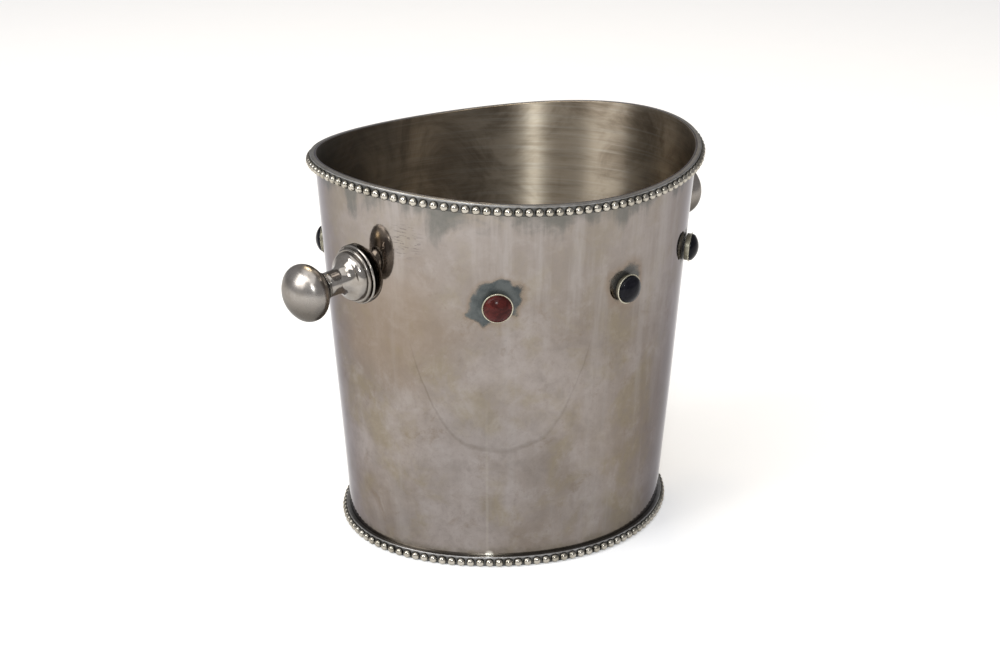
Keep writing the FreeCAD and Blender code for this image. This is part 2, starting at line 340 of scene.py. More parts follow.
solder_outline = soften([(-SHEET, FLOOR_HIGH, 0, 0.5), (-SHEET, FLOOR_HIGH + 1.6 * MM, 0.1 * MM, 0.5),
                         (-SHEET - 0.5 * MM, FLOOR_HIGH + 0.5 * MM, 0.6 * MM, 0.5),
                         (-SHEET - 1.6 * MM, FLOOR_HIGH, 0.1 * MM, 0.5)], steps=4)
solder = swept("floor_solder", solder_outline, lambda z, a: z + 0 * a, columns=360,
               inside=lambda outline: np.ones(len(outline)))

# %% [markdown]
# ## The strips of the mouldings
# Each moulding is a plain strip with a row of half-round beads on its face. Years of polishing have
# brightened what stands out and left tarnish in the corners, which are also painted darker as shade.
# The strip could be a curve with a bevel, but it has to lie on the wall all the way round, so it is
# swept round the oval like the wall.

# %% Strips
def strip_outline(top, height, edge, by_wall):
    """A closed outline standing on the wall's outside. The last number is the tarnish and painted shade by
    the wall.
    """
    low = top - height
    corners = [(STRIP, low, 0.3 * MM, 0.8), (STRIP, top - 1.2 * MM, 0, 0.7), (STRIP, top, edge, 0.0),
               (STRIP * 0.4, top, 0, 0.05), (0, top, 0.05 * MM, by_wall), (0, low, 0.05 * MM, 0.8)]
    return divide(soften(corners), 0.6 * MM)


RIM_STRIP_HEIGHT = 5.9 * MM
rim_strip_outline = strip_outline(RIM_HEIGHT, RIM_STRIP_HEIGHT, 0.7 * MM, 0.2)
rim_strip = swept("made_rim_strip", rim_strip_outline,
                  lambda z, a: z - RIM_HEIGHT + rim_height(a))
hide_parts("rim_strip")
report(rim_strip, "rim_strip")

FOOT_STRIP_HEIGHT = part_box("foot_strip")[1].z
foot_strip_outline = strip_outline(FOOT_STRIP_HEIGHT, FOOT_STRIP_HEIGHT, 0.5 * MM, 0.6)
foot_strip = swept("made_foot_strip", foot_strip_outline, lambda z, a: z + 0 * a)
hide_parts("foot_strip")
report(foot_strip, "foot_strip")

# %% [markdown]
# ## The rows of beads
# The beads are pressed into the moulding one after another, so they are nearly equal but not quite.
# They could be instances of one sphere, but real meshes are kept when the model is exported. So one
# half-round bead is made and copied round the oval at even steps along it, each with its own slight
# change of size. Its skirt sinks a little into the strip, so no gap shows behind it.

# %% Bead rows
BEAD_SINK = 0.12 * MM


def even_angles(count, height):
    """Construction angles at even steps along the face of the strip."""
    fine = np.linspace(0, TURN, 7201)
    line = oval(fine, np.full(len(fine), height), STRIP)
    walked = np.concatenate([[0], np.cumsum(np.linalg.norm(np.diff(line, axis=0), axis=1))])
    return np.interp(walked[-1] * np.arange(count) / count, walked, fine)


def one_bead(columns=28, rings=9):
    """A half-round bead standing on the XY plane: its points, its faces and its tarnish and painted shade."""
    rows = []
    tarnish_and_shade = []
    for k in range(rings):
        lift = math.pi / 2 * k / rings
        ring = [(math.cos(lift) * math.cos(a), math.cos(lift) * math.sin(a), math.sin(lift))
                for a in np.linspace(0, TURN, columns, endpoint=False)]
        rows += ring
        # Tarnish and painted shade: darker low on the bead, in the gaps between beads.
        tarnish_and_shade += [max(0.0, 1.1 - 1.3 * math.sin(lift))] * columns
    skirt = [(x, y, -BEAD_SINK / BEAD_RADIUS) for x, y, z in rows[:columns]]
    points = np.array(skirt + rows + [(0, 0, 1)]) * BEAD_RADIUS
    faces = grid_faces(rings + 1, columns, False)
    top = rings * columns
    pole = len(points) - 1
    faces += [(top + c, top + (c + 1) % columns, pole) for c in range(columns)]
    faces.append(tuple(reversed(range(columns))))
    return points, faces, np.array([1.0] * columns + tarnish_and_shade + [0.0])


def bead_row(name, node, mean_height, height_at, count):
    shape, bead_faces, bead_tarnish_and_shade = one_bead()
    wobble = random.Random(count)
    points, faces = [], []
    for angle in even_angles(count, mean_height):
        place = wall_frame(angle, height_at(angle))
        seat = np.array(place @ Matrix.Translation((0, 0, STRIP)))
        size = wobble.uniform(0.965, 1.0)
        local = shape * np.array([size, size, wobble.uniform(0.94, 1.0)])
        first = len(points) * len(shape)
        faces += [tuple(i + first for i in face) for face in bead_faces]
        points.append(local @ seat[:3, :3].T + seat[:3, 3])
    row = mesh_piece(name, np.concatenate(points), faces, np.tile(bead_tarnish_and_shade, count))
    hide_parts(node)
    report(row, node)
    return row


RIM_BEAD_DROP = 3.4 * MM
RIM_BEAD_COUNT = 124
FOOT_BEAD_COUNT = 111
foot_bead_low, foot_bead_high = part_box("foot_beads")
FOOT_BEAD_HEIGHT = (foot_bead_low.z + foot_bead_high.z) / 2
rim_beads = bead_row("made_rim_beads", "rim_beads", RIM_HEIGHT,
                     lambda a: rim_height(a) - RIM_BEAD_DROP, RIM_BEAD_COUNT)
foot_beads = bead_row("made_foot_beads", "foot_beads", FOOT_BEAD_HEIGHT,
                      lambda a: FOOT_BEAD_HEIGHT, FOOT_BEAD_COUNT)

# %% [markdown]
# ## Turned pieces
# The handles are turned on a lathe, and the settings and stones are round too. A Screw modifier can
# spin an outline, but the back of a piece has to follow the curved wall, so the grid is spun here and
# its lowest points are laid on the wall.


# %% A lathe
def turned(name, outline, angle, height, columns=96, seated=False):
    """Spins an outline of (radius, distance out, tarnish and painted shade), which starts and ends on the
    axis.
    """
    place = np.array(wall_frame(angle, height))
    rows = outline[1:-1]
    around = np.linspace(0, TURN, columns, endpoint=False)[None, :]
    x = rows[:, 0][:, None] * np.cos(around)
    y = rows[:, 0][:, None] * np.sin(around)
    z = np.repeat(rows[:, 1][:, None], columns, axis=1)
    if seated:
        fall = -x ** 2 / (2 * bend_radius(angle, height))
        z = np.where(z <= 0, fall + z, z)
    local = np.stack([x, y, z], axis=-1).reshape(-1, 3)
    ends = np.array([(0, 0, outline[0][1]), (0, 0, outline[-1][1])])
    local = np.concatenate([local, ends])
    points = local @ place[:3, :3].T + place[:3, 3]
    faces = grid_faces(len(rows), columns, False)
    faces += end_fans(len(points) - 2, len(points) - 1, len(rows), columns)
    tarnish_and_shade = np.append(np.repeat(rows[:, 2], columns), [outline[0][2], outline[-1][2]])
    return mesh_piece(name, points, faces, tarnish_and_shade)


# %% [markdown]
# ## The handles
# From the wall outwards: a flange, a lip ring on it, a bell with a round shoulder that sweeps into a
# slim neck, a collar of two small rings, and a knob like a flattened ball. Old polish stays in the
# grooves between them, so the corners there carry tarnish, and they are also painted darker as shade.
# A stud holds it all and is riveted over inside the bucket.

# %% Handle outlines
FLANGE_RADIUS = 16.4 * MM
LIP_RADIUS = 15.1 * MM
BELL_RADIUS = 13.6 * MM
COLLAR_RADIUS = 8.6 * MM
KNOB_RADIUS = 15.7 * MM
FLANGE_TOP = 2.4 * MM
LIP_TOP = 4.6 * MM
BELL_TOP = 23.2 * MM
COLLAR_TOP = 26.6 * MM
BELL_SHOULDER = 4.2 * MM
BELL_WIDEST = LIP_TOP + 0.3 * MM
NECK_RADIUS = 6.8 * MM
NECK_START = LIP_TOP + 11.5 * MM
NECK_END = LIP_TOP + 15.5 * MM
NECK_FLARE = 0.6 * MM
KNOB_CENTRE = 35.5 * MM
KNOB_HALF_THICKNESS = 11.1 * MM
KNOB_EDGE = 7.5 * MM
RIVET_RADIUS = 2.6 * MM
RIVET_DEPTH = 0.9 * MM
WALL_SINK = 0.1 * MM


def curve_points(start, middle, end, steps, tarnish_and_shade):
    """Points of the circle through three points, as an outline with tarnish and painted shade that changes
    evenly.
    """
    a, b, c = (complex(*p) for p in (start, middle, end))
    w = (c - a) / (b - a)
    centre = a - (b - a) * (w - abs(w) ** 2) / (2j * w.imag)
    first = a - centre
    sweep = math.atan2(((c - centre) / first).imag, ((c - centre) / first).real)
    by_middle = math.atan2(((b - centre) / first).imag, ((b - centre) / first).real)
    if sweep * by_middle < 0:
        sweep += math.copysign(TURN, by_middle)
    out = []
    for k in range(steps + 1):
        share = k / steps
        p = centre + first * complex(math.cos(sweep * share), math.sin(sweep * share))
        out.append((p.real, p.imag, tarnish_and_shade[0] * (1 - share) + tarnish_and_shade[1] * share))
    return out


def dome_points(across, along, edge, base, way, steps=14):
    """Quarter of a flattened ball from its widest point to its pole: a tight arc, then a wide one."""
    wide = ((across - edge) ** 2 + along ** 2 - edge ** 2) / (2 * (along - edge))
    meet = math.atan2(wide - along, across - edge)
    tight = [(across - edge + edge * math.cos(t), base + way * edge * math.sin(t), 0.0)
             for t in np.linspace(0, meet, steps)]
    broad = [(wide * math.cos(t), base + way * (along - wide + wide * math.sin(t)), 0.0)
             for t in np.linspace(meet, math.pi / 2, steps)]
    return tight + broad[1:-1] + [(0, base + way * along, 0.0)]


def sweep_points(centre, radius, start, stop, steps, tarnish_and_shade):
    """Points on a circle between two angles."""
    share = np.linspace(0, 1, steps + 1)
    turn = start + (stop - start) * share
    grime_and_shade = tarnish_and_shade[0] * (1 - share) + tarnish_and_shade[1] * share
    return list(zip(centre[0] + radius * np.cos(turn), centre[1] + radius * np.sin(turn), grime_and_shade))


flange_outline = soften([(0, -WALL_SINK, 0), (FLANGE_RADIUS, -WALL_SINK, 0, 1.0),
                         (FLANGE_RADIUS, 0.2 * MM, 0.05 * MM, 0.5),
                         (FLANGE_RADIUS, 0.6 * MM, 0.05 * MM, 0.05),
                         (FLANGE_RADIUS, FLANGE_TOP, 1.0 * MM, 0.0),
                         (LIP_RADIUS - 0.3 * MM, FLANGE_TOP, 0.1 * MM, 0.9),
                         (0, FLANGE_TOP, 0, 1.0)], closed=False)
LIP_EDGE = (LIP_TOP - FLANGE_TOP) / 2
lip_middle = (LIP_RADIUS - LIP_EDGE, FLANGE_TOP + LIP_EDGE)
lip_curve = sweep_points(lip_middle, LIP_EDGE, -math.pi / 2, math.pi / 2, 14, (0.5, 0.3))
lip_outline = np.array([(0, FLANGE_TOP, 1.0)] + lip_curve
                       + [(BELL_RADIUS - 0.4 * MM, LIP_TOP - 0.1 * MM, 0.9), (0, LIP_TOP - 0.1 * MM, 1.0)])

# The hollow of the bell touches the shoulder's circle and the straight neck.
shoulder_across = BELL_RADIUS - BELL_SHOULDER
across = shoulder_across - NECK_RADIUS
along = NECK_START - BELL_WIDEST
hollow = (across ** 2 + along ** 2 - BELL_SHOULDER ** 2) / (2 * (across + BELL_SHOULDER))
meet = math.atan2(along, NECK_RADIUS + hollow - shoulder_across)
shoulder_start = -math.asin((BELL_WIDEST - LIP_TOP) / BELL_SHOULDER)
shoulder_curve = sweep_points((shoulder_across, BELL_WIDEST), BELL_SHOULDER, shoulder_start, meet,
                              16, (0.4, 0.0))
hollow_curve = sweep_points((NECK_RADIUS + hollow, NECK_START), hollow, math.pi + meet, math.pi,
                            18, (0.0, 0.05))
flare_curve = curve_points((NECK_RADIUS, NECK_END), (NECK_RADIUS + NECK_FLARE / 4, (NECK_END + BELL_TOP) / 2),
                           (NECK_RADIUS + NECK_FLARE, BELL_TOP), 6, (0.05, 0.4))
bell_outline = np.array([(0, LIP_TOP - 0.2 * MM, 1.0), (BELL_RADIUS - 0.6 * MM, LIP_TOP - 0.2 * MM, 0.9)]
                        + shoulder_curve + hollow_curve[1:] + flare_curve + [(0, BELL_TOP, 1.0)])
collar_step = (BELL_TOP + COLLAR_TOP) / 2
ring_foot = COLLAR_RADIUS - 1.4 * MM
collar_outline = np.array(
    [(0, BELL_TOP, 1.0)]
    + curve_points((ring_foot, BELL_TOP), (COLLAR_RADIUS - 0.7 * MM, (BELL_TOP + collar_step) / 2),
                   (ring_foot, collar_step), 10, (0.6, 0.5))
    + curve_points((ring_foot, collar_step), (COLLAR_RADIUS, (collar_step + COLLAR_TOP) / 2),
                   (ring_foot, COLLAR_TOP), 10, (0.5, 0.6))[1:]
    + [(0, COLLAR_TOP, 1.0)])
knob_back = dome_points(KNOB_RADIUS, KNOB_HALF_THICKNESS, KNOB_EDGE, KNOB_CENTRE, -1, steps=24)
knob_front = dome_points(KNOB_RADIUS, KNOB_HALF_THICKNESS, KNOB_EDGE, KNOB_CENTRE, 1, steps=24)
knob_outline = np.array(knob_back[::-1] + knob_front[1:])
rivet_outline = soften([(0, -SHEET - RIVET_DEPTH, 0), (RIVET_RADIUS, -SHEET - RIVET_DEPTH, 0.6 * MM),
                        (RIVET_RADIUS, -SHEET + WALL_SINK, 0, 1.0),
                        (0, -SHEET + WALL_SINK, 0, 1.0)], closed=False)

# %% [markdown]
# ## Both handles on the wall
# The two handles are the same, one at each end of the oval, so one loop makes them. They could be one
# object and a mirror of it, but every piece needs its own mesh and name to stand for its CAD node.

# %% Build both handles
HANDLE_PARTS = {"flange": flange_outline, "lip": lip_outline, "bell": bell_outline,
                "collar": collar_outline, "knob": knob_outline}
handle_pieces = []
knobs = []
rivets = []
for side, angle in (("right", HANDLE_TURN), ("left", math.pi + HANDLE_TURN)):
    for part, outline in HANDLE_PARTS.items():
        node = f"{side}_handle_{part}"
        seated = part == "flange"
        piece = turned(f"made_{node}", outline, angle, HANDLE_HEIGHT, seated=seated)
        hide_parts(node)
        report(piece, node)
        (knobs if part == "knob" else handle_pieces).append(piece)
    node = f"{side}_handle_stud"
    rivet = turned(f"made_{node}", rivet_outline, angle, HANDLE_HEIGHT, columns=48)
    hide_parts(node)
    rivets.append(rivet)

# %% [markdown]
# ## Settings and stones
# A cabochon is a round stone with a domed top and no facets. It sits in a thin cup, and the cup's lip
# is rubbed over its edge to hold it. The lip is the bright line round each stone. The stones are at
# uneven heights and steps round the oval, so each has its own angle and height instead of a formula.

# %% Settings and stones
STONE_PLACES = {
    "front_left": (228.1, 156.5, "red_stone"),
    "front_middle": (268.9, 157.6, "black_stone"),
    "front_right": (308.0, 160.9, "black_stone"),
    "back_left": (132.0, 159.5, "black_stone"),
    "back_middle": (91.1, 157.6, "black_stone"),
    "back_right": (52.0, 156.5, "black_stone"),
}
STONE_RADIUS = 7.6 * MM
STONE_DOME = 4.4 * MM
STONE_EDGE = 2.6 * MM
CUP_RADIUS = 8.35 * MM
CUP_HEIGHT = 3.5 * MM
CUP_FLOOR = 0.7 * MM
cup_outline = soften([(0, -WALL_SINK, 0, 1.0), (CUP_RADIUS, -WALL_SINK, 0, 1.0),
                      (CUP_RADIUS, 0.2 * MM, 0.05 * MM, 0.4), (CUP_RADIUS, 0.6 * MM, 0.05 * MM, 0.0),
                      (CUP_RADIUS, CUP_HEIGHT, 0.35 * MM, 0.0),
                      (STONE_RADIUS + 0.05 * MM, CUP_HEIGHT, 0.15 * MM, 0.2),
                      (STONE_RADIUS + 0.05 * MM, CUP_FLOOR, 0.1 * MM, 1.0),
                      (0, CUP_FLOOR, 0, 1.0)], closed=False)
stone_outline = np.array([(0, CUP_FLOOR, 0.0), (STONE_RADIUS, CUP_FLOOR, 0.0)]
                         + dome_points(STONE_RADIUS, STONE_DOME, STONE_EDGE, CUP_HEIGHT, 1))
cups = []
stones = {"red_stone": [], "black_stone": []}
for where, (degrees, height, colour) in STONE_PLACES.items():
    angle = math.radians(degrees)
    cup = turned(f"made_{where}_cup", cup_outline, angle, height * MM, seated=True)
    stone = turned(f"made_{where}_stone", stone_outline, angle, height * MM, columns=72)
    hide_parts(f"{where}_cup")
    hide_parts(f"{where}_stone")
    report(stone, f"{where}_stone")
    cups.append(cup)
    stones[colour].append(stone)

# %% [markdown]
# ## Shader arithmetic
# Finishes are built from node trees. A wrapped socket lets a pattern be written as plain Python: each
# operator adds the Math node that does it. The material class makes every other node with one method
# that takes the node's type, its settings, and what goes into its sockets.


# %% Wrapped sockets
class Value:
    """One number that changes over a surface."""

    def __init__(self, finish, socket):
        self.finish = finish
        self.socket = socket

    def math(self, operation, first, second=0.0, clamp=False):
        settings = {"operation": operation, "use_clamp": clamp}
        return self.finish.node("ShaderNodeMath", settings, {0: first, 1: second})

    def __add__(self, other):
        return self.math("ADD", self, other)

    def __radd__(self, other):
        return self.math("ADD", other, self)

    def __sub__(self, other):
        return self.math("SUBTRACT", self, other)

    def __rsub__(self, other):
        return self.math("SUBTRACT", other, self)

    def __mul__(self, other):
        return self.math("MULTIPLY", self, other)

    def __rmul__(self, other):
        return self.math("MULTIPLY", other, self)

    def __truediv__(self, other):
        return self.math("DIVIDE", self, other)

    def __rtruediv__(self, other):
        return self.math("DIVIDE", other, self)

    def __pow__(self, other):
        return self.math("POWER", self, other)

    def __rpow__(self, other):
        return self.math("POWER", other, self)

    def absolute(self):
        return self.math("ABSOLUTE", self)

    def clamped(self):
        return self.math("ADD", self, 0.0, clamp=True)

    def ramp(self, low, high):
        """Zero below low, one above high, smooth between. Low may be the larger of the two."""
        sockets = {"Value": self, "From Min": low, "From Max": high}
        return self.finish.node("ShaderNodeMapRange", {"interpolation_type": "SMOOTHSTEP"}, sockets)


class Finish:
    """A material with a Principled shader, built up node by node."""

    def __init__(self, name):
        self.material = bpy.data.materials.new(name)
        self.material.use_nodes = True
        self.tree = self.material.node_tree
        self.shader = self.tree.nodes["Principled BSDF"]
        self.place = self.node("ShaderNodeTexCoord", {}, {}, "Object")

    def node(self, kind, settings, sockets, output=0):
        made = self.tree.nodes.new(kind)
        for key, value in settings.items():
            setattr(made, key, value)
        for key, value in sockets.items():
            self.feed(made.inputs[key], value)
        return Value(self, made.outputs[output])

    def feed(self, socket, value):
        if isinstance(value, Value):
            self.tree.links.new(value.socket, socket)
        else:
            socket.default_value = value

    def set(self, **sockets):
        """Sets the Principled shader's sockets, with _ for the spaces in their names."""
        for key, value in sockets.items():
            self.feed(self.shader.inputs[key.replace("_", " ")], value)

    def mix(self, share, first, second):
        """Mixes two colours. The colour sockets of the Mix node are its inputs 6 and 7, and its output 2."""
        settings = {"data_type": "RGBA", "clamp_factor": True}
        return self.node("ShaderNodeMix", settings, {"Factor": share, 6: first, 7: second}, 2)

    def attribute(self, name):
        return self.node("ShaderNodeAttribute", {"attribute_name": name}, {}, "Fac")

    def stretched(self, x, y, z):
        """The place on the object, scaled along each axis."""
        sockets = {0: self.place, 1: (x, y, z)}
        return self.node("ShaderNodeVectorMath", {"operation": "MULTIPLY"}, sockets)

    def noise(self, scale, detail=3.0, roughness=0.55, place=None, distortion=0.0):
        sockets = {"Vector": place or self.place, "Scale": scale, "Detail": detail,
                   "Roughness": roughness, "Distortion": distortion}
        return self.node("ShaderNodeTexNoise", {"noise_dimensions": "3D"}, sockets, "Fac")

    def axis(self, name):
        return self.node("ShaderNodeSeparateXYZ", {}, {0: self.place}, name)

    def facing_up(self):
        """One where the surface faces up, minus one where it faces down."""
        normal = self.node("ShaderNodeTexCoord", {}, {}, "Normal")
        return self.node("ShaderNodeSeparateXYZ", {}, {0: normal}, "Z")

    def distance(self, point):
        """How far each place on the object is from a point."""
        sockets = {0: self.place, 1: point}
        return self.node("ShaderNodeVectorMath", {"operation": "DISTANCE"}, sockets, "Value")

    def bump(self, height, distance, strength=1.0):
        sockets = {"Height": height, "Distance": distance, "Strength": strength}
        return self.node("ShaderNodeBump", {}, sockets, "Normal")

    def on(self, *pieces):
        for piece in pieces:
            piece.data.materials.clear()
            piece.data.materials.append(self.material)
        print(self.material.name, "has", len(self.tree.nodes), "nodes, on", len(pieces), "pieces")


def rgb(red, green, blue):
    return (red, green, blue, 1.0)


# %% [markdown]
# ## Silver sheet, outside
# Polished silver, long unpolished: a warm grey mirror, clouded by thin brown and olive tarnish, with
# soft upright smears, which also carry painted reflection streaks. Some tones are painted light: the
# half towards +X is painted darker, the upper wall lighter, a dark band under the rim is a painted
# reflection of the beaded rim, and a U-shaped crease carries a painted reflection. The sheet is also
# darker just above the foot and round each setting. Each of those is a mask made from a distance,
# roughened by noise so that its edge is ragged.


# %% The outside of the sheet
RUST_PLACE = (math.radians(193), 142 * MM)
SCRAPE_PLACE = (math.radians(200.6), 190 * MM)
SOLDER_BLOB_HEIGHT = 6.5 * MM


def sheet_finish():
    silver = Finish("silver_sheet")
    height = silver.axis("Z")
    along = silver.axis("X")
    across = silver.axis("Y")
    sides = {0: across / MOUTH_HALF_WIDTH, 1: along / MOUTH_HALF_LENGTH}
    angle = silver.node("ShaderNodeMath", {"operation": "ARCTAN2"}, sides)
    clouds = silver.noise(11.0, 4.0, 0.6, distortion=0.8)
    patches = silver.noise(34.0, 4.0, 0.62, distortion=0.4)
    smears_and_painted_streaks = silver.noise(1.0, 4.0, 0.6, silver.stretched(60.0, 60.0, 5.0))
    fine = silver.noise(420.0, 3.0, 0.7)
    scratches = silver.noise(1.0, 2.0, 0.7, silver.stretched(90.0, 90.0, 1500.0))
    ragged = silver.noise(120.0, 4.0, 0.7)
    lobes = silver.noise(62.0, 2.0, 0.5)
    mottle = silver.noise(75.0, 5.0, 0.7, distortion=0.3)

    # Bare silver under thin brown and olive films, with smears, painted reflection streaks and spots.
    body = silver.mix(clouds.ramp(0.34, 0.66), rgb(0.268, 0.236, 0.217), rgb(0.188, 0.156, 0.130))
    body = silver.mix(patches.ramp(0.44, 0.66) * 0.60, body, rgb(0.205, 0.170, 0.108))
    body = silver.mix(mottle.ramp(0.44, 0.68) * 0.40, body, rgb(0.160, 0.138, 0.122))
    body = silver.mix(mottle.ramp(0.50, 0.30) * 0.30, body, rgb(0.330, 0.305, 0.290))
    # Upright smears, partly painted reflection streaks: lighter and darker bands.
    body = silver.mix(smears_and_painted_streaks.ramp(0.48, 0.72) * 0.30, body, rgb(0.330, 0.310, 0.300))
    body = silver.mix(smears_and_painted_streaks.ramp(0.42, 0.24) * 0.28, body, rgb(0.180, 0.158, 0.142))
    body = silver.mix(fine.ramp(0.52, 0.70) * 0.18, body, rgb(0.130, 0.112, 0.095))
    spots = silver.noise(58.0, 6.0, 0.75, distortion=0.5)
    body = silver.mix(spots.ramp(0.56, 0.68) * 0.38, body, rgb(0.150, 0.112, 0.078))
    # Painted shade: the half of the wall towards +X is darker.
    body = silver.mix(along.ramp(-0.075, 0.02) * 0.16, body, rgb(0.160, 0.142, 0.130))
    # Painted reflection: the upper wall is lighter.
    body = silver.mix(height.ramp(0.12, 0.19) * 0.30, body, rgb(0.370, 0.335, 0.310))

    # Painted reflection: lighter upright streaks on the upper wall.
    high = height.ramp(0.115, 0.190)
    body = silver.mix(smears_and_painted_streaks.ramp(0.50, 0.70) * high * 0.28, body, rgb(0.410, 0.385, 0.372))
    rust = silver.distance(wall_frame(*RUST_PLACE).translation) + (patches - 0.5) * 0.05
    body = silver.mix(rust.ramp(0.050, 0.012) * 0.38, body, rgb(0.235, 0.172, 0.112))

    # Painted reflection of the beaded rim: a dark band in ragged drips below it. The sheet is also a
    # darker brown just above the foot.
    wave = silver.node("ShaderNodeMath", {"operation": "COSINE"}, {0: angle * 2 - 2 * RIM_WAVE_TURN})
    below_rim = wave * RIM_WAVE + RIM_HEIGHT - height
    ragged_below_rim = below_rim + (patches - 0.5) * 0.045 + (smears_and_painted_streaks - 0.5) * 0.05
    painted_rim_reflection = ragged_below_rim.ramp(0.017, 0.005) * below_rim.ramp(0.001, 0.003) * (mottle * 0.6 + 0.3)
    body = silver.mix(painted_rim_reflection, body, rgb(0.088, 0.096, 0.086))
    over_foot = (height + (ragged - 0.5) * 0.012).ramp(0.0120, 0.0060) * 0.55
    body = silver.mix(over_foot, body, rgb(0.100, 0.085, 0.062))
    dull = over_foot * 0.15
    rim_and_setting_marks = painted_rim_reflection * 0.3

    # A brown ring and a dark ragged ring round each setting, widest round the red stone.
    for degrees, level, colour in STONE_PLACES.values():
        red = colour == "red_stone"
        spot = wall_frame(math.radians(degrees), level * MM) @ Vector((-1.0 * MM, 1.3 * MM, 0))
        reach = CUP_RADIUS + (4.8 * MM if red else 1.4 * MM)
        off = silver.distance(spot) + (lobes - 0.5) * (0.034 if red else 0.012) + (ragged - 0.5) * 0.010
        brown = off.ramp(reach + 6.5 * MM, reach) * 0.50
        body = silver.mix(brown, body, rgb(0.185, 0.135, 0.092))
        halo = off.ramp(reach + 2.2 * MM, reach - 1.6 * MM) * (0.95 if red else 0.75)
        dark = silver.mix(mottle.ramp(0.35, 0.65), rgb(0.030, 0.040, 0.042), rgb(0.085, 0.096, 0.094))
        body = silver.mix(halo, body, dark)
        rim_and_setting_marks = halo + rim_and_setting_marks

    # A scraped patch, the upright seam with its blob of solder, and a painted reflection along the U-shaped
    # crease: lighter inside it, darker along its line.
    scrape = silver.distance(wall_frame(*SCRAPE_PLACE).translation).ramp(0.013, 0.004)
    level_lines = silver.noise(1.0, 3.0, 0.75, silver.stretched(160.0, 160.0, 900.0))
    scrape = scrape * level_lines.ramp(0.53, 0.60) * 0.6
    body = silver.mix(scrape, body, rgb(0.070, 0.055, 0.055))
    seam_side = (angle - (SEAM_ANGLE - TURN)).absolute()
    seam = seam_side.ramp(0.012, 0.003) * (height + patches * 0.05).ramp(0.165, 0.06) * 0.20
    body = silver.mix(seam, body, rgb(0.36, 0.33, 0.29))
    blob_middle = wall_frame(SEAM_ANGLE, SOLDER_BLOB_HEIGHT).translation
    blob = silver.distance(blob_middle).ramp(0.0028, 0.0010)
    crease = (angle - (math.radians(CREASE_ANGLE) - TURN)).absolute() * math.degrees(1)
    past_crease = height - (crease ** 3 * CREASE_RISE + CREASE_LOW) + (patches - 0.5) * 0.013
    # Painted reflection: lighter inside the U-shaped crease.
    painted_u_reflection = past_crease.ramp(-0.0003, 0.0008) * height.ramp(0.150, 0.110)
    body = silver.mix(painted_u_reflection * 0.10, body, rgb(0.315, 0.290, 0.275))
    # Painted reflection: a darker line along the crease.
    painted_u_reflection_edge = past_crease.absolute().ramp(0.0024, 0.0004) * height.ramp(0.138, 0.112)
    painted_u_reflection_edge = painted_u_reflection_edge * (clouds.ramp(0.35, 0.60) * 0.65 + 0.35)
    body = silver.mix(painted_u_reflection_edge * 0.50, body, rgb(0.125, 0.105, 0.085))
    body = silver.mix(blob * 0.8, body, rgb(0.62, 0.59, 0.52))

    # The dark marks under the rim and round the settings are made less metallic and rougher than the silver.
    silver.set(Base_Color=body, Metallic=1 - rim_and_setting_marks.clamped() * 0.65, Specular_Tint=rgb(0.58, 0.58, 0.62))
    for turn in (HANDLE_TURN, math.pi + HANDLE_TURN):
        seat = wall_frame(turn, HANDLE_HEIGHT).translation
        dull = silver.distance(seat).ramp(FLANGE_RADIUS + 1.5 * MM, FLANGE_RADIUS) * 0.12 + dull
    silver.set(Roughness=clouds * 0.05 + patches * 0.03 + fine * 0.02 + rim_and_setting_marks * 0.35 + dull + 0.015)
    silver.set(Normal=silver.bump(fine * 0.5 + scratches * 0.25 + patches * 2.0, 0.00003, 0.5))
    return silver


outside = sheet_finish()
outside.on(wall, floor_plate)

# %% [markdown]
# ## Silver sheet, inside
# The inside was brushed round and round, so fine level lines spread every reflection up and down and
# leave a bright upright stripe where the light comes back to the eye. Anisotropy in the shader does
# that without modelling each line. The tarnish is brown, and it lies in level streaks.


# %% The inside of the sheet
def inside_finish():
    silver = Finish("silver_inside")
    brushed = silver.noise(1.0, 5.0, 0.7, silver.stretched(16.0, 16.0, 520.0))
    streaks = silver.noise(1.0, 4.0, 0.65, silver.stretched(22.0, 22.0, 150.0))
    clouds = silver.noise(26.0, 5.0, 0.65, distortion=1.0)
    body = silver.mix(clouds.ramp(0.35, 0.68), rgb(0.44, 0.372, 0.285), rgb(0.20, 0.158, 0.112))
    body = silver.mix(streaks.ramp(0.42, 0.72) * 0.6, body, rgb(0.20, 0.162, 0.115))
    body = silver.mix(brushed.ramp(0.45, 0.75) * 0.35, body, rgb(0.58, 0.545, 0.475))
    # Painted shade: the side of the inside towards -X is darker.
    left = (silver.axis("X") * -1 + silver.axis("Y") * 0.35 + (clouds - 0.5) * 0.08).ramp(-0.06, 0.07)
    body = silver.mix(left * 0.65, body, rgb(0.11, 0.098, 0.083))
    silver.set(Base_Color=body, Metallic=1.0, Roughness=0.30 + clouds * 0.10 + streaks * 0.06)
    silver.set(Anisotropic=0.95, Anisotropic_Rotation=0.25, Specular_Tint=rgb(0.7, 0.7, 0.7))
    silver.set(Normal=silver.bump(brushed * 0.7 + streaks * 0.6, 0.00006, 0.5))
    return silver


def line_inside(piece, finish):
    """Gives a second finish to the faces that look inwards."""
    mesh = piece.data
    mesh.materials.append(finish.material)
    inside = np.zeros(len(mesh.vertices), np.float32)
    mesh.attributes["inside"].data.foreach_get("value", inside)
    inner = [int(min(inside[v] for v in face.vertices) > 0.5) for face in mesh.polygons]
    mesh.polygons.foreach_set("material_index", inner)
    print(piece.name, "has", sum(inner), "faces that look inwards")


inner_silver = inside_finish()
inner_silver.on(solder)
line_inside(wall, inner_silver)
line_inside(floor_plate, inner_silver)

# %% [markdown]
# ## Mouldings, handles and settings
# The same silver, but polished more often where a cloth reaches. The tarnish attribute says where it
# doesn't reach, and the same attribute paints shade into corners and gaps. Faces that look down can
# also get painted shade.


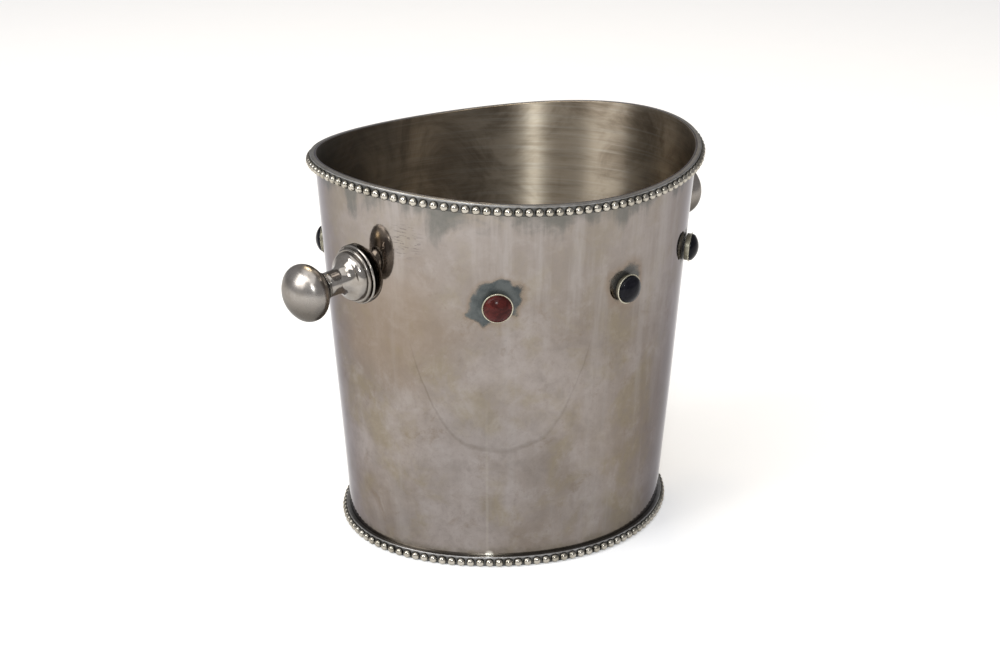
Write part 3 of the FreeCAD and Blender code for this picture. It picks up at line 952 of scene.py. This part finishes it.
# %% The other silver finishes
def polished(name, bright, dull, black, rough_bright, rough_dull, underside_shade=0.0, metal=1.0):
    silver = Finish(name)
    grime_and_shade = silver.attribute("tarnish_and_shade")
    clouds = silver.noise(95.0, 5.0, 0.7)
    fine = silver.noise(600.0, 2.0, 0.6)
    body = silver.mix(clouds.ramp(0.4, 0.68), bright, dull)
    # Painted shade on faces that look down.
    if underside_shade:
        painted_underside_shade = (silver.facing_up() + (clouds - 0.5) * 0.6).ramp(0.40, -0.60) * underside_shade
        body = silver.mix(painted_underside_shade, body, rgb(0.10, 0.09, 0.078))
    # Tarnish in corners and gaps, also painted shade there, mixed towards the dark colour.
    dirt_and_shade = (grime_and_shade * 1.1 + clouds * 0.5 - 0.35).clamped()
    silver.set(Base_Color=silver.mix(dirt_and_shade, body, black), Metallic=metal, Specular_Tint=rgb(0.7, 0.7, 0.7))
    silver.set(Roughness=rough_bright + clouds * (rough_dull - rough_bright) + dirt_and_shade * 0.25)
    silver.set(Normal=silver.bump(fine, 0.00003, 0.4))
    return silver


strip_silver = polished("silver_strip", rgb(0.34, 0.335, 0.325), rgb(0.24, 0.23, 0.215),
                        rgb(0.04, 0.04, 0.036), 0.22, 0.40)
strip_silver.on(rim_strip, foot_strip)
bead_silver = polished("silver_bead", rgb(0.50, 0.465, 0.40), rgb(0.34, 0.31, 0.25),
                       rgb(0.02, 0.02, 0.018), 0.10, 0.22)
bead_silver.on(rim_beads, foot_beads)
turned_silver = polished("silver_turned", rgb(0.42, 0.390, 0.355), rgb(0.31, 0.280, 0.244),
                         rgb(0.06, 0.052, 0.042), 0.06, 0.13, underside_shade=0.45, metal=0.92)
turned_silver.on(*handle_pieces)
knob_silver = polished("silver_knob", rgb(0.40, 0.370, 0.340), rgb(0.28, 0.252, 0.222),
                       rgb(0.06, 0.052, 0.042), 0.22, 0.34, underside_shade=0.95)
knob_silver.on(*knobs)
cup_silver = polished("silver_cup", rgb(0.52, 0.49, 0.385), rgb(0.34, 0.315, 0.23),
                      rgb(0.07, 0.062, 0.042), 0.14, 0.26, metal=0.6)
cup_silver.on(*cups)
rivet_silver = polished("silver_hammered", rgb(0.42, 0.39, 0.35), rgb(0.30, 0.27, 0.23),
                        rgb(0.06, 0.05, 0.04), 0.25, 0.4)
rivet_silver.on(*rivets)

# %% [markdown]
# ## The stones
# Carnelian is a brown-red quartz with faint cloudy bands. Onyx is almost black. A glass shader would
# let light through, but these stones are opaque in their cups, so a deep colour with a smooth, faint
# gloss is enough to show the dome.


# %% Stone finishes
def stone_finish(name, deep, light, cloud_scale):
    stone = Finish(name)
    clouds = stone.noise(cloud_scale, 4.0, 0.6, distortion=1.2)
    scuffs = stone.noise(900.0, 2.0, 0.5)
    stone.set(Base_Color=stone.mix(clouds.ramp(0.35, 0.7), deep, light), Roughness=0.10 + scuffs * 0.10)
    stone.set(IOR=1.5, Specular_IOR_Level=0.10)
    stone.set(Normal=stone.bump(clouds, 0.00005, 0.4))
    return stone


stone_finish("carnelian", rgb(0.036, 0.008, 0.007), rgb(0.090, 0.018, 0.015), 160.0).on(*stones["red_stone"])
stone_finish("onyx", rgb(0.004, 0.004, 0.006), rgb(0.010, 0.010, 0.013), 120.0).on(*stones["black_stone"])

# %% [markdown]
# ## The floor
# The bucket stands on a pale sheet. It glows a little, as white paper does in a bright room, because
# the lower part of a silver wall shows mostly the floor.

# %% Floor
bpy.ops.mesh.primitive_plane_add(size=16.0)
floor = bpy.context.object
floor.name = "pale_floor"
paper = Finish("pale_paper")
grain = paper.noise(30.0, 4.0, 0.6)
paper.set(Base_Color=paper.mix(grain, rgb(0.86, 0.86, 0.86), rgb(0.90, 0.90, 0.90)), Roughness=0.75)
paper.set(Emission_Color=rgb(1, 1, 1), Emission_Strength=0.28, Specular_IOR_Level=0.1)
paper.on(floor)

# %% [markdown]
# ## Lights and room
# Silver shows what stands round it, so the light matters as much as the finish. A wide soft box hangs
# overhead, others stand round the bucket like windows and lamps, and the room is a plain grey. Each is
# placed by its direction from the bucket and by the brightness of its face, because that brightness is
# what a mirror shows, whatever the box's size and distance.

# %% Lights and room
LIGHT_CENTRE = Vector((0, 0, 0.15))
LIGHT_TARGET = Vector((0, 0, 0.1))


def soft_box(name, turn, tilt, distance, size, radiance, colour=(1, 1, 1)):
    """A square soft box in a direction from the bucket, with a given brightness of its face."""
    turn, tilt = math.radians(turn), math.radians(tilt)
    way = Vector((math.cos(tilt) * math.cos(turn), math.cos(tilt) * math.sin(turn), math.sin(tilt)))
    place = way * distance + LIGHT_CENTRE
    lamp = bpy.data.lights.new(name, "AREA")
    lamp.shape = "RECTANGLE"
    lamp.size = size
    lamp.size_y = size
    lamp.energy = radiance * math.pi * size ** 2
    lamp.color = colour
    holder = bpy.data.objects.new(name, lamp)
    holder.location = place
    holder.rotation_euler = (LIGHT_TARGET - place).to_track_quat("-Z", "Y").to_euler()
    scene.collection.objects.link(holder)


soft_box("ceiling", 215, 78, 2.3, 2.6, 1.0)
soft_box("window", 194, 50, 1.7, 0.55, 3.0)
soft_box("side_window", 168, 32, 1.8, 1.0, 5.0)
soft_box("lamp", 226, 25, 1.9, 0.16, 85.0, (0.92, 0.97, 1.0))
soft_box("front_wall", 226, 33, 2.1, 0.7, 2.2)
soft_box("warm_lamp", 50, 58, 1.7, 0.45, 12.0, (1.0, 0.84, 0.58))
room = bpy.data.worlds.new("room")
room.use_nodes = True
room.node_tree.nodes["Background"].inputs["Color"].default_value = (0.36, 0.36, 0.375, 1)
room.node_tree.nodes["Background"].inputs["Strength"].default_value = 1.0
scene.world = room
scene.view_settings.view_transform = "Standard"

# %% [markdown]
# ## The camera
# The camera looks down at the bucket from the front left corner through a short telephoto lens. A
# Track To constraint could aim it, but a matrix made from its three directions also holds its roll.

# %% Camera
CAMERA_TURN = math.radians(-42.62)
CAMERA_TILT = math.radians(20.31)
CAMERA_ROLL = math.radians(0.473)
CAMERA_DISTANCE = 1.18448
LOOK_AT = Vector((0, 0, RIM_HEIGHT / 2))
lens = bpy.data.cameras.new("camera")
lens.sensor_width = 36.0
lens.lens = 73.70
lens.shift_x = -0.0065
lens.shift_y = 0.0020
camera = bpy.data.objects.new("camera", lens)
scene.collection.objects.link(camera)
level = Vector((math.cos(CAMERA_TURN), math.sin(CAMERA_TURN), 0))
ahead = Vector((-math.sin(CAMERA_TURN), math.cos(CAMERA_TURN), 0))
forward = ahead * math.cos(CAMERA_TILT) - Vector((0, 0, math.sin(CAMERA_TILT)))
rise = level.cross(forward)
right = level * math.cos(CAMERA_ROLL) + rise * math.sin(CAMERA_ROLL)
up = rise * math.cos(CAMERA_ROLL) - level * math.sin(CAMERA_ROLL)
turn = Matrix((right, up, -forward)).transposed().to_4x4()
camera.matrix_world = Matrix.Translation(LOOK_AT - forward * CAMERA_DISTANCE) @ turn
scene.camera = camera
print("camera is", round(CAMERA_DISTANCE, 3), "m away")
